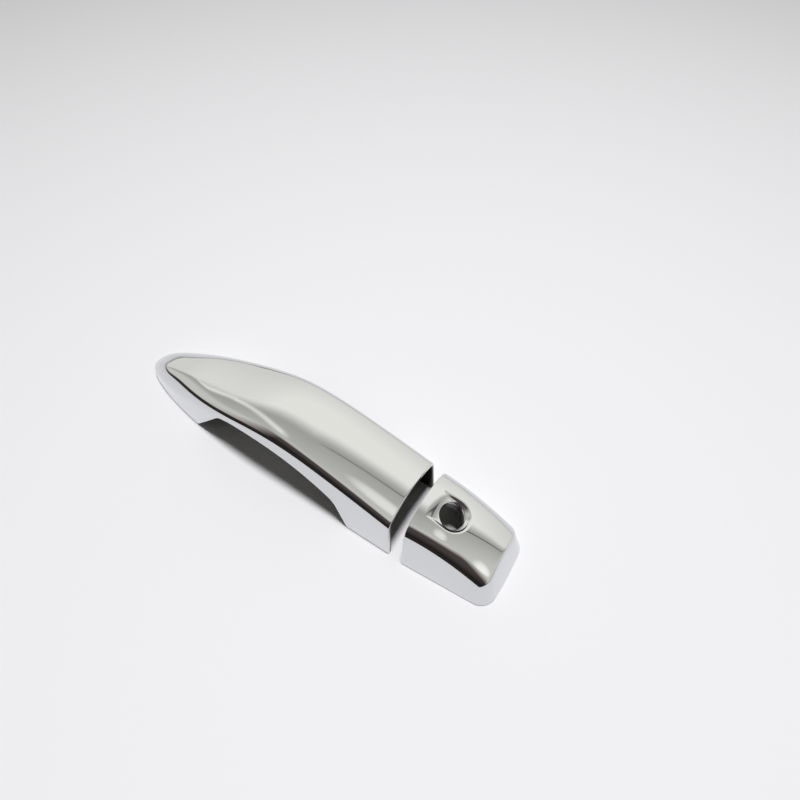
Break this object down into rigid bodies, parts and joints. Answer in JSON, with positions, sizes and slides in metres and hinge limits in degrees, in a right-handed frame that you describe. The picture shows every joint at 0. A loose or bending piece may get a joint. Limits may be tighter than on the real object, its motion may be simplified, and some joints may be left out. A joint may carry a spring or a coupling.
{
  "type": "door handle cover",
  "caption": "Bowed, leaf-ended shell cover for a vehicle's outer grip handle, open underneath with a hand opening, and a separate end cap with a recessed keyhole.",
  "frame": {"origin": "middle of the plane that the rims rest on, under the whole pair's box", "axes": "+X along the handle from the pointed nose towards the closed end of the cap, +Z away from the door, +Y across the handle"},
  "size_m": [0.2126, 0.0396, 0.0406],
  "materials": {
    "chrome_skin": "bright chrome plating on moulded plastic, mirror smooth outside"
  },
  "bodies": {
    "root": {"grip_shell": "chrome_skin", "key_cap": "chrome_skin"}
  },
  "joints": []
}
